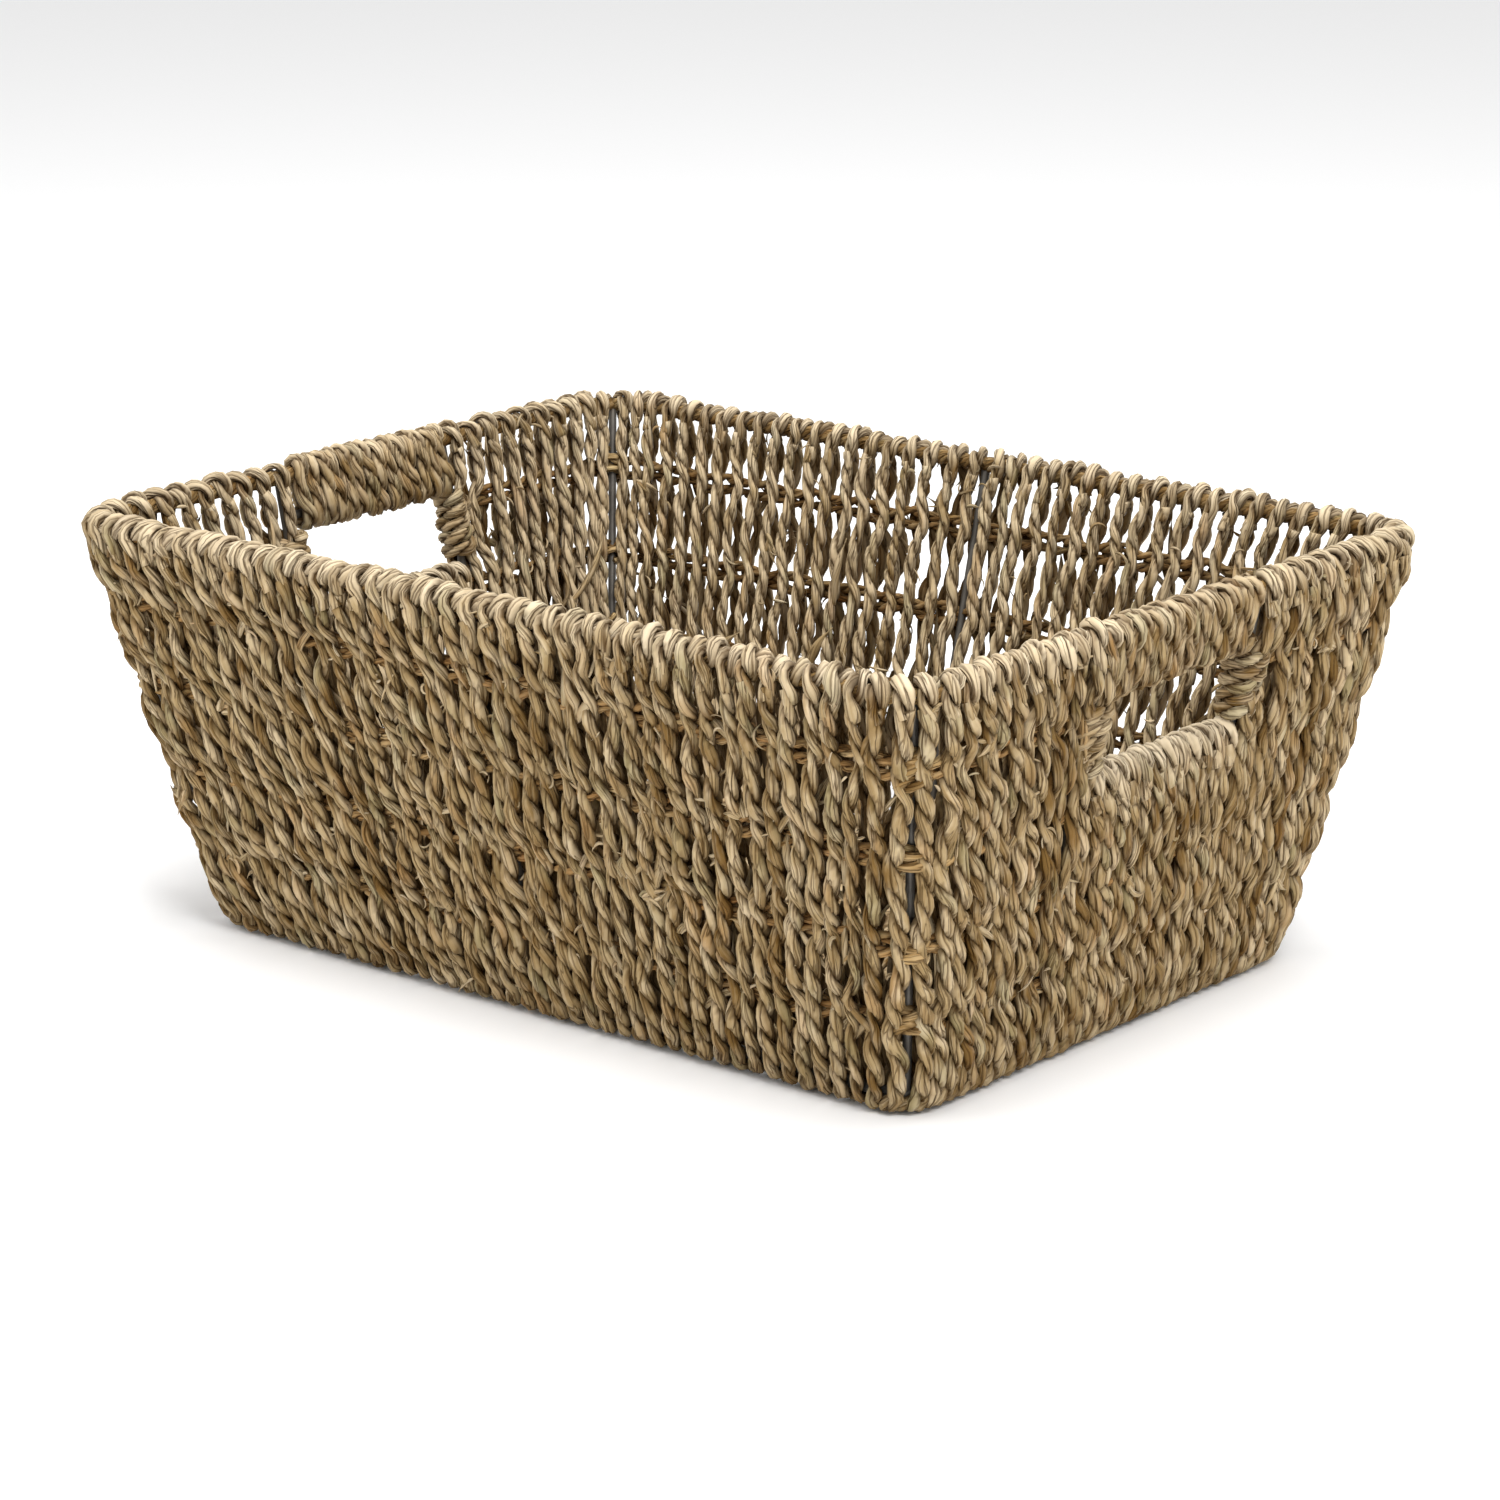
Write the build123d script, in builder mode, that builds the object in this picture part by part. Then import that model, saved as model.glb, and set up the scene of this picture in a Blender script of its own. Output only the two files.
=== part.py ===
"""Seagrass storage basket: seagrass cord wound on a welded steel wire frame, a hand hole in each end.

Millimetres, +Z up. The origin is the middle of the underside. +X is the right end, -Y the front.
Every wall is two layers of cord wound over the rim wire and round the base wire. The uprights and
the twined weft rows run in the room between the two layers.
"""

import os
from math import atan2, degrees

from build123d import *

# Driving sizes: centre-lines of the rim wire and of the base wire, and the overall height
RIM_LENGTH = 386.0
RIM_WIDTH = 293.0
RIM_CORNER = 20.0
BASE_LENGTH = 324.0
BASE_WIDTH = 218.0
BASE_CORNER = 12.0
HEIGHT = 162.0

# Steel wire
RING_WIRE_RADIUS = 2.0
UPRIGHT_RADIUS = 1.6

# Seagrass: one layer of wound cord, and half of the room between the two layers
CORD_LAYER = 4.6
CORE = 2.2
WALL_HALF = CORE + CORD_LAYER
EDGE_FLAT = 0.8
EDGE_ROUND = WALL_HALF - EDGE_FLAT

# Clearances: between two pieces of cord, between a wire and the cord round it, at a welded joint
CORD_GAP = 0.15
WIRE_GAP = 0.1
WELD_GAP = 0.03

# Twined weft rows: heights on the walls, places across the base, and section of the twined pair
WEFT_HEIGHTS = (34.0, 65.0, 97.0, 130.0)
BASE_WEFTS = {"front": -72.0, "middle": 0.0, "back": 72.0}
WEFT_BAND = 9.0
WEFT_HALF = 1.5
WEFT_EDGE = 1.2
WEFT_STOP = 2.6

# Hand hole: frame uprights, the grip's lower wire, the sill wire, and the cord wound round them
HANDLE_UPRIGHT_Y = 45.0
HOLE_HALF = 38.0
GRIP_HALF = 43.0
GRIP_HEIGHT = 27.0
SILL_RADIUS = 5.2
SILL_DROP = 54.5
LASHING_END = 57.0
LASHING_ROUND = 5.0
GRIP_BOTTOM = HEIGHT - GRIP_HEIGHT
GRIP_WIRE_Z = GRIP_BOTTOM + SILL_RADIUS
SILL_TOP = HEIGHT - SILL_DROP
SILL_WIRE_Z = SILL_TOP - SILL_RADIUS

# Wires under the floor, running from end to end
FLOOR_WIRE_Y = 36.0

RIM_Z = HEIGHT - WALL_HALF
BASE_Z = WALL_HALF

# How far a cutting shape reaches past what it cuts: sideways, and in height
REACH = 60.0
PAST = 1.0
SIDES = {"front": -1, "back": 1}
ENDS = {"left": -1, "right": 1}


def at_height(base_value, rim_value, z):
    """A size of the leaning wall at height z, in a straight line from base wire to rim wire."""
    return base_value + (rim_value - base_value) * (z - BASE_Z) / (RIM_Z - BASE_Z)


def length_at(z):
    return at_height(BASE_LENGTH, RIM_LENGTH, z)


def width_at(z):
    return at_height(BASE_WIDTH, RIM_WIDTH, z)


def corner_at(z):
    return at_height(BASE_CORNER, RIM_CORNER, z)


def corner_centre(z):
    """Centre of the rounded corner at height z, in the +X +Y quarter."""
    return length_at(z) / 2 - corner_at(z), width_at(z) / 2 - corner_at(z)


def save(built, name):
    """Labels a finished piece and writes it to its own file."""
    built.part.label = name
    export_step(built.part, f"parts/{name}.step")


def block(offset, low, high):
    """The basket filled solid, its sides standing off the wires' surface by offset."""
    with BuildPart() as filled:
        for z in (low, high):
            with BuildSketch(Plane.XY.offset(z)):
                RectangleRounded(
                    length_at(z) + 2 * offset, width_at(z) + 2 * offset, corner_at(z) + offset
                )
        loft(ruled=True)
    return filled.part


def sleeve(outside, low, high):
    """A band of the wall, as thick as twice outside, between two heights."""
    with BuildPart() as band:
        add(block(outside, low, high))
        add(block(-outside, low - PAST, high + PAST), mode=Mode.SUBTRACT)
    return band.part


def ring(length, width, corner, z, radius):
    """A wire of round section bent into a level rounded rectangle."""
    with BuildPart() as wire:
        with BuildSketch(Plane.XY.offset(z), mode=Mode.PRIVATE) as outline:
            RectangleRounded(length, width, corner)
        path = outline.sketch.face().outer_wire()
        with BuildSketch(Plane(origin=path @ 0, z_dir=path % 0)):
            Circle(radius)
        sweep(path=path)
    return wire.part


def rod(start, end, radius):
    """A straight wire of round section between two points."""
    start, end = Vector(*start), Vector(*end)
    with BuildPart() as wire:
        with BuildSketch(Plane(origin=start, z_dir=end - start)):
            Circle(radius)
        extrude(amount=(end - start).length)
    return wire.part


# Where each upright stands: the point on the base wire and the point on the rim wire


def corner_point(length, width, radius, x_side, y_side, z):
    """The middle of a rounded corner of a level ring."""
    in_from_corner = radius * (1 - 2**-0.5)
    return (x_side * (length / 2 - in_from_corner), y_side * (width / 2 - in_from_corner), z)


def upright_lines():
    """Name, foot and head of every upright of the frame."""
    lines = {}
    for side, y_side in SIDES.items():
        for end, x_side in ENDS.items():
            lines[f"{side}_{end}_corner_upright"] = (
                corner_point(BASE_LENGTH, BASE_WIDTH, BASE_CORNER, x_side, y_side, BASE_Z),
                corner_point(RIM_LENGTH, RIM_WIDTH, RIM_CORNER, x_side, y_side, RIM_Z),
            )
            lines[f"{end}_handle_{side}_upright"] = (
                (x_side * BASE_LENGTH / 2, y_side * HANDLE_UPRIGHT_Y, BASE_Z),
                (x_side * RIM_LENGTH / 2, y_side * HANDLE_UPRIGHT_Y, RIM_Z),
            )
        lines[f"{side}_middle_upright"] = (
            (0, y_side * BASE_WIDTH / 2, BASE_Z),
            (0, y_side * RIM_WIDTH / 2, RIM_Z),
        )
    return lines


UPRIGHTS = upright_lines()


# Steel frame


def frame_wires():
    """Rim and base rings, the uprights coped to them, and the wires across the floor."""
    with BuildPart() as rim_wire:
        add(ring(RIM_LENGTH, RIM_WIDTH, RIM_CORNER, RIM_Z, RING_WIRE_RADIUS))
    save(rim_wire, "rim_wire")

    with BuildPart() as base_wire:
        add(ring(BASE_LENGTH, BASE_WIDTH, BASE_CORNER, BASE_Z, RING_WIRE_RADIUS))
    save(base_wire, "base_wire")

    cope_radius = RING_WIRE_RADIUS + WELD_GAP
    rim_cope = ring(RIM_LENGTH, RIM_WIDTH, RIM_CORNER, RIM_Z, cope_radius)
    base_cope = ring(BASE_LENGTH, BASE_WIDTH, BASE_CORNER, BASE_Z, cope_radius)

    for name, (foot, head) in UPRIGHTS.items():
        with BuildPart() as upright:
            add(rod(foot, head, UPRIGHT_RADIUS))
            add(rim_cope, mode=Mode.SUBTRACT)
            add(base_cope, mode=Mode.SUBTRACT)
        save(upright, name)

    for side, y_side in SIDES.items():
        y = y_side * FLOOR_WIRE_Y
        with BuildPart() as floor_wire:
            add(rod((-BASE_LENGTH / 2, y, BASE_Z), (BASE_LENGTH / 2, y, BASE_Z), UPRIGHT_RADIUS))
            add(base_cope, mode=Mode.SUBTRACT)
        save(floor_wire, f"floor_wire_{side}")


def handle_wire_line(x_side, z, reach):
    """Ends of a level wire across a hand hole at height z."""
    x = x_side * length_at(z) / 2
    return (x, -reach, z), (x, reach, z)


def handle_wires():
    """The grip's lower wire and the sill wire, coped to the two uprights of each hand hole."""
    for end, x_side in ENDS.items():
        with BuildPart() as copes:
            for side in SIDES:
                foot, head = UPRIGHTS[f"{end}_handle_{side}_upright"]
                add(rod(foot, head, UPRIGHT_RADIUS + WELD_GAP))
        for name, z in (("grip_wire", GRIP_WIRE_Z), ("sill_wire", SILL_WIRE_Z)):
            with BuildPart() as cross_wire:
                add(rod(*handle_wire_line(x_side, z, HANDLE_UPRIGHT_Y), UPRIGHT_RADIUS))
                add(copes.part, mode=Mode.SUBTRACT)
            save(cross_wire, f"{end}_{name}")


# Wound cord of the walls


def wall_slab(x_side, y_side, cored):
    """A straight wall across the whole basket, a leaning stadium in section.

    One of x_side and y_side is 0. A cored slab has the room for frame and wefts along its middle.
    """
    plane = Plane.XZ if x_side else Plane.YZ
    side = x_side or y_side
    low = side * (length_at(BASE_Z) if x_side else width_at(BASE_Z)) / 2
    high = side * (length_at(RIM_Z) if x_side else width_at(RIM_Z)) / 2
    run = Vector(high - low, RIM_Z - BASE_Z)
    lean = degrees(atan2(run.Y, run.X))
    with BuildPart() as slab:
        with BuildSketch(plane):
            with Locations(((low + high) / 2, (BASE_Z + RIM_Z) / 2)):
                SlotCenterToCenter(run.length, 2 * WALL_HALF, rotation=lean)
                if cored:
                    SlotCenterToCenter(run.length, 2 * CORE, rotation=lean, mode=Mode.SUBTRACT)
        extrude(amount=RIM_LENGTH / 2, both=True)
    return slab.part


def between_corners(across_width):
    """The space between the rounded corners: across the width for a long wall, else for an end."""
    axis = 0 if across_width else 1
    low, high = -PAST, HEIGHT + PAST
    low_half = corner_centre(low)[axis] - CORD_GAP / 2
    high_half = corner_centre(high)[axis] - CORD_GAP / 2
    with BuildPart() as space:
        with BuildSketch(Plane.XZ if across_width else Plane.YZ):
            with BuildLine():
                Polyline(
                    (-low_half, low),
                    (low_half, low),
                    (high_half, high),
                    (-high_half, high),
                    close=True,
                )
            make_face()
        extrude(amount=RIM_LENGTH, both=True)
    return space.part


def long_walls():
    """The cords of the front and back walls."""
    space = between_corners(across_width=True)
    for side, y_side in SIDES.items():
        with BuildPart() as cords:
            add(wall_slab(0, y_side, cored=True))
            add(space, mode=Mode.INTERSECT)
        save(cords, f"{side}_wall_cords")


def window(x_side):
    """Space at one end that the wall cords leave for the grip, the hole, the lashings and the sill."""
    sill_bottom = SILL_TOP - 2 * SILL_RADIUS - CORD_GAP
    x = x_side * RIM_LENGTH / 2
    lashing_height = GRIP_BOTTOM - SILL_TOP
    with BuildPart() as space:
        with Locations((x, 0, (sill_bottom + HEIGHT + PAST) / 2)):
            Box(REACH * 2, 2 * (GRIP_HALF + CORD_GAP), HEIGHT + PAST - sill_bottom)
        with Locations((x, 0, (GRIP_BOTTOM + SILL_TOP) / 2)):
            Box(REACH * 2, 2 * (LASHING_END + CORD_GAP), lashing_height + 2 * CORD_GAP)
    return space.part


def end_walls():
    """The cords of the two ends: below each hand hole and to both sides of it."""
    space = between_corners(across_width=False)
    for end, x_side in ENDS.items():
        with BuildPart() as cords:
            add(wall_slab(x_side, 0, cored=True))
            add(space, mode=Mode.INTERSECT)
            add(window(x_side), mode=Mode.SUBTRACT)
            for y_side in SIDES.values():
                with Locations((0, y_side * (GRIP_HALF + CORD_GAP / 2), HEIGHT / 2)):
                    Box(2 * RIM_LENGTH, CORD_GAP, 2 * HEIGHT, mode=Mode.SUBTRACT)
                start = (x_side * BASE_LENGTH / 2, y_side * FLOOR_WIRE_Y, BASE_Z)
                finish = (0, y_side * FLOOR_WIRE_Y, BASE_Z)
                add(rod(start, finish, UPRIGHT_RADIUS + WIRE_GAP), mode=Mode.SUBTRACT)
        save(cords, f"{end}_end_cords")


def corner_zone(x_side, y_side):
    """The space outside the centre line of one rounded corner."""
    with BuildPart() as space:
        for z in (-PAST, HEIGHT + PAST):
            x, y = corner_centre(z)
            middle = (
                x_side * (x + (REACH + CORD_GAP) / 2),
                y_side * (y + (REACH + CORD_GAP) / 2),
            )
            with BuildSketch(Plane.XY.offset(z)):
                with Locations(middle):
                    Rectangle(REACH, REACH)
        loft(ruled=True)
    return space.part


def corners():
    """The cords that fan round each corner."""
    with BuildPart() as wall:
        add(sleeve(WALL_HALF, 0, HEIGHT))
        for z in (0, HEIGHT):
            fillet(wall.edges().filter_by_position(Axis.Z, z - EDGE_FLAT, z + EDGE_FLAT), EDGE_ROUND)
        add(sleeve(CORE, BASE_Z - CORE, RIM_Z + CORE), mode=Mode.SUBTRACT)
    for side, y_side in SIDES.items():
        for end, x_side in ENDS.items():
            with BuildPart() as cords:
                add(wall.part)
                add(corner_zone(x_side, y_side), mode=Mode.INTERSECT)
            save(cords, f"{side}_{end}_corner_cords")


# Cord round the hand holes


def grips():
    """Cord wound round the rim wire and the grip's lower wire together."""
    for end, x_side in ENDS.items():
        with BuildPart() as grip:
            add(wall_slab(x_side, 0, cored=False))
            with Locations((x_side * RIM_LENGTH / 2, 0, (GRIP_BOTTOM + HEIGHT + PAST) / 2)):
                Box(REACH, 2 * GRIP_HALF, HEIGHT + PAST - GRIP_BOTTOM, mode=Mode.INTERSECT)
            fillet(grip.edges().filter_by(Axis.Y).group_by(Axis.Z)[0], EDGE_ROUND)
            reach = 2 * GRIP_HALF
            rim_line = handle_wire_line(x_side, RIM_Z, reach)
            grip_line = handle_wire_line(x_side, GRIP_WIRE_Z, reach)
            add(rod(*rim_line, RING_WIRE_RADIUS + WIRE_GAP), mode=Mode.SUBTRACT)
            add(rod(*grip_line, UPRIGHT_RADIUS + WIRE_GAP), mode=Mode.SUBTRACT)
        save(grip, f"{end}_grip_wrap")


def sills():
    """Cord looped over the sill wire, the lower edge of the hand hole."""
    for end, x_side in ENDS.items():
        start, finish = handle_wire_line(x_side, SILL_WIRE_Z, GRIP_HALF)
        with BuildPart() as sill:
            add(rod(start, finish, SILL_RADIUS))
            add(rod(start, finish, UPRIGHT_RADIUS + WIRE_GAP), mode=Mode.SUBTRACT)
        save(sill, f"{end}_sill_wrap")


def lashings():
    """Cord wound level round the uprights at the two sides of each hand hole."""
    height = GRIP_BOTTOM - SILL_TOP - 2 * CORD_GAP
    for end, x_side in ENDS.items():
        for side, y_side in SIDES.items():
            foot, head = UPRIGHTS[f"{end}_handle_{side}_upright"]
            middle = (
                x_side * RIM_LENGTH / 2,
                y_side * (HOLE_HALF + LASHING_END) / 2,
                (GRIP_BOTTOM + SILL_TOP) / 2,
            )
            with BuildPart() as lashing:
                add(wall_slab(x_side, 0, cored=False))
                with Locations(middle):
                    Box(REACH * 2, LASHING_END - HOLE_HALF, height, mode=Mode.INTERSECT)
                upright_edges = lashing.edges().filter_by(lambda e: e.length > height)
                inner = upright_edges.sort_by(lambda e: abs(e.center().Y))[0:2]
                fillet(inner, LASHING_ROUND)
                add(rod(foot, head, UPRIGHT_RADIUS + WIRE_GAP), mode=Mode.SUBTRACT)
            save(lashing, f"{end}_handle_{side}_lashing")


# Wefts and floor


def wefts():
    """Twined pairs that run round the basket between the layers, from upright to upright."""
    with BuildPart() as cuts:
        for foot, head in UPRIGHTS.values():
            add(rod(foot, head, WEFT_STOP))
        for x_side in ENDS.values():
            add(window(x_side))
    for number, z in enumerate(WEFT_HEIGHTS, start=1):
        with BuildPart() as weft:
            add(sleeve(WEFT_HALF, z - WEFT_BAND / 2, z + WEFT_BAND / 2))
            add(cuts.part, mode=Mode.SUBTRACT)
        save(weft, f"weft_row_{number}")


def floor():
    """Two layers of cord laid from front to back, and the twined wefts between them."""
    inside = WALL_HALF + CORD_GAP
    length = length_at(0) - 2 * inside
    width = width_at(0) - 2 * inside
    corner = BASE_CORNER - inside
    for name, low in (("floor_under_cords", 0.0), ("floor_top_cords", BASE_Z + CORE)):
        with BuildPart() as layer:
            with BuildSketch(Plane.XY.offset(low)):
                RectangleRounded(length, width, corner)
            extrude(amount=BASE_Z - CORE)
        save(layer, name)

    for name, y in BASE_WEFTS.items():
        with BuildPart() as weft:
            with Locations((0, y, BASE_Z)):
                Box(length, WEFT_BAND, 2 * WEFT_HALF)
            fillet(weft.edges().filter_by(Axis.X), WEFT_EDGE)
        save(weft, f"floor_weft_{name}")


os.makedirs("parts", exist_ok=True)
frame_wires()
handle_wires()
long_walls()
end_walls()
corners()
grips()
sills()
lashings()
wefts()
floor()
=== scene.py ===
"""Looks of the seagrass storage basket, built round its packed steel frame.

Every cord is a real pair of plies twisted round a path. The wall cords run up the outside, over the
rim wire, down the inside and under the base wire. Sizes are in millimetres until a mesh is made.
"""

import math
from itertools import product

import bpy
import numpy as np
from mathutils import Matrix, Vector


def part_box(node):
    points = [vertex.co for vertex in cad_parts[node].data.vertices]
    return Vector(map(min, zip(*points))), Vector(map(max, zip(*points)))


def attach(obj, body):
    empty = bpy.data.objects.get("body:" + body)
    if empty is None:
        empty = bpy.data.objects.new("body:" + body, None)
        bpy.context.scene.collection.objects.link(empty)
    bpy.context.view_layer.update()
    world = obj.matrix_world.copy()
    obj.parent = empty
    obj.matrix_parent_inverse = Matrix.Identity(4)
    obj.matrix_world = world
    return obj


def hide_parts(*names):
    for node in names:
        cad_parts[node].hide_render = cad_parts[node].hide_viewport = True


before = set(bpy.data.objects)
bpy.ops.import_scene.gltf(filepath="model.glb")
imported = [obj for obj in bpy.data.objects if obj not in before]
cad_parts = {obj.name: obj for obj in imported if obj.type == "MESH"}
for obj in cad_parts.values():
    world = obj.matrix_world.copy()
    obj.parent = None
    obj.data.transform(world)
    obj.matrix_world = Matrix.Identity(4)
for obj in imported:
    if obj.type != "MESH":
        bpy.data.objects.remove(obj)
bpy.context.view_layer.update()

MM = 0.001
ENDS = {"left": -1, "right": 1}
SIDES = {"front": -1, "back": 1}

# ---------------------------------------------------------------- sizes read from the frame


def node_box(node):
    """Lowest and highest corner of a CAD node, in millimetres."""
    low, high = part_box(node)
    return np.array(low) / MM, np.array(high) / MM


def node_height(node):
    """Height of the middle of a CAD node."""
    low, high = node_box(node)
    return float(low[2] + high[2]) / 2


class Ring:
    """A level wire ring: half length, half width, height of its centre-line, wire radius, corner."""

    def __init__(self, node, corner):
        low, high = node_box(node)
        self.wire = (high[2] - low[2]) / 2
        self.half_length = high[0] - self.wire
        self.half_width = high[1] - self.wire
        self.z = (low[2] + high[2]) / 2
        self.corner = corner


RIM = Ring("rim_wire", corner=20.0)
BASE = Ring("base_wire", corner=12.0)
WEFT_ROWS = (1, 2, 3, 4)
WEFT_HEIGHTS = [node_height(f"weft_row_{row}") for row in WEFT_ROWS]
GRIP_Z = node_height("right_grip_wire")
SILL_Z = node_height("right_sill_wire")
SILL_HALF = node_box("right_sill_wrap")[1][1]
LASH_LOW, LASH_HIGH = node_box("right_handle_back_lashing")
FLOOR_LOW, FLOOR_HIGH = node_box("floor_top_cords")

# ---------------------------------------------------------------- cord

STEP = 2.0  # between the sections of a tube
COUNTER_TWIST = 1.25  # turns of a ply's folds per turn of its cord
FIBRE_RADIUS = 2.0  # of the texture round a ply
TUBE_SLENDERNESS = 22  # rows to columns of the piece's texture grid
CELL_MARGIN = 0.06  # of a cell's height
FOLD_WIDTH = 0.14  # radians
FOLD_EDGE = 0.24  # radians from a fold's bottom to where it starts
FOLD_DEPTH = 0.26  # share of the ply's radius
TUCKED = (-0.5, 0.35)  # where the painted shade on a ply's own tucked-in side turns from dark to light
BURIED = (-0.9, 0.5)  # where the painted shade on a cord's faces turned into the wall turns from dark to light


def smooth_noise(points, seed, length, terms=5):
    """Smooth noise in about -1..1 at 3-D points, with features of the given length."""
    rng = np.random.default_rng(seed)
    total = np.zeros(len(points))
    for _ in range(terms):
        direction = rng.normal(size=3)
        direction /= np.linalg.norm(direction)
        scale = rng.uniform(0.7, 1.6) * 2 * math.pi / length
        total += np.sin(points @ direction * scale + rng.uniform(0, 2 * math.pi))
    return total / math.sqrt(terms)


def line_noise(distance, rng, length, terms=4):
    """Smooth noise in about -1..1 along a line."""
    total = np.zeros(len(distance))
    for _ in range(terms):
        scale = rng.uniform(0.6, 1.7) * 2 * math.pi / length
        total += np.sin(distance * scale + rng.uniform(0, 2 * math.pi))
    return total / math.sqrt(terms)


def unit(vectors):
    """The vectors scaled to length 1."""
    return vectors / np.maximum(np.linalg.norm(vectors, axis=1, keepdims=True), 1e-9)


def travelled(points):
    """Distance travelled along a line of points."""
    steps = np.linalg.norm(np.diff(points, axis=0), axis=1)
    return np.concatenate([[0.0], np.cumsum(steps)])


def resample(step, points, *others):
    """Points and matching arrays at even steps along the line."""
    distance = travelled(points)
    count = max(4, int(round(distance[-1] / step)) + 1)
    even = np.linspace(0, distance[-1], count)
    result = []
    for values in (points,) + others:
        if values.ndim == 1:
            result.append(np.interp(even, distance, values))
        else:
            columns = [np.interp(even, distance, values[:, k]) for k in range(values.shape[1])]
            result.append(np.stack(columns, axis=1))
    return result


def smooth_step(values, low, high):
    """0 below low, 1 above high, with a smooth rise between."""
    t = np.clip((values - low) / (high - low), 0, 1)
    return t * t * (3 - 2 * t)


def section(rng, plain, folds):
    """Angles, radii and fold depth round a ply's section."""
    centres = np.arange(folds) * 2 * math.pi / max(folds, 1) + rng.normal(0, 0.35, folds)
    even = np.linspace(0, 2 * math.pi, plain, endpoint=False) + rng.uniform(0, 0.6)
    angle = np.concatenate([even, centres - FOLD_EDGE, centres, centres + FOLD_EDGE])
    angle = np.sort(angle % (2 * math.pi))
    gap = (angle[:, None] - centres[None, :] + math.pi) % (2 * math.pi) - math.pi
    fold = np.exp(-((gap / FOLD_WIDTH) ** 2)).max(axis=1, initial=0)
    return angle, 1 - FOLD_DEPTH * fold, fold


def tube_faces(count, sides):
    """Corners and first corners of a tube's faces: its quads, then its two caps."""
    ring, side = np.meshgrid(np.arange(count - 1), np.arange(sides), indexing="ij")
    after = (side + 1) % sides
    quads = np.stack(
        [ring * sides + side, ring * sides + after, (ring + 1) * sides + after,
         (ring + 1) * sides + side], axis=-1
    ).reshape(-1, 4)
    caps = [np.arange(sides)[::-1], (count - 1) * sides + np.arange(sides)]
    starts = np.concatenate([np.arange(len(quads)) * 4, len(quads) * 4 + np.array([0, sides])])
    return np.concatenate([quads.ravel(), *caps]), starts


def tube_layout(count, sides, cell, grid):
    """Texture place of each of those corners, in the tube's own cell of the piece's grid."""
    ring, side = np.meshgrid(np.arange(count - 1), np.arange(sides), indexing="ij")
    cap = np.tile(np.linspace(0.2, 0.8, sides), 2)
    u = np.stack([ring, ring, ring + 1, ring + 1], axis=-1).reshape(-1) / (count - 1)
    u = np.concatenate([u, cap * 0.01 + 0.5])
    v = np.stack([side, side + 1, side + 1, side], axis=-1).reshape(-1) / sides
    v = np.concatenate([v, cap])
    u = (cell[0] + CELL_MARGIN / 4 + u * (1 - CELL_MARGIN / 2)) / grid[0]
    v = (cell[1] + CELL_MARGIN + v * (1 - 2 * CELL_MARGIN)) / grid[1]
    return np.stack([u, v], axis=1)


def make_mesh(name, points, corners, starts):
    """A smooth mesh from its points and its faces."""
    mesh = bpy.data.meshes.new(name)
    mesh.vertices.add(len(points))
    mesh.vertices.foreach_set("co", points.astype(np.float32).ravel())
    mesh.loops.add(len(corners))
    mesh.loops.foreach_set("vertex_index", corners.astype(np.int32))
    mesh.polygons.add(len(starts))
    mesh.polygons.foreach_set("loop_start", starts.astype(np.int32))
    mesh.update(calc_edges=True)
    mesh.polygons.foreach_set("use_smooth", np.ones(len(starts), bool))
    return mesh


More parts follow.
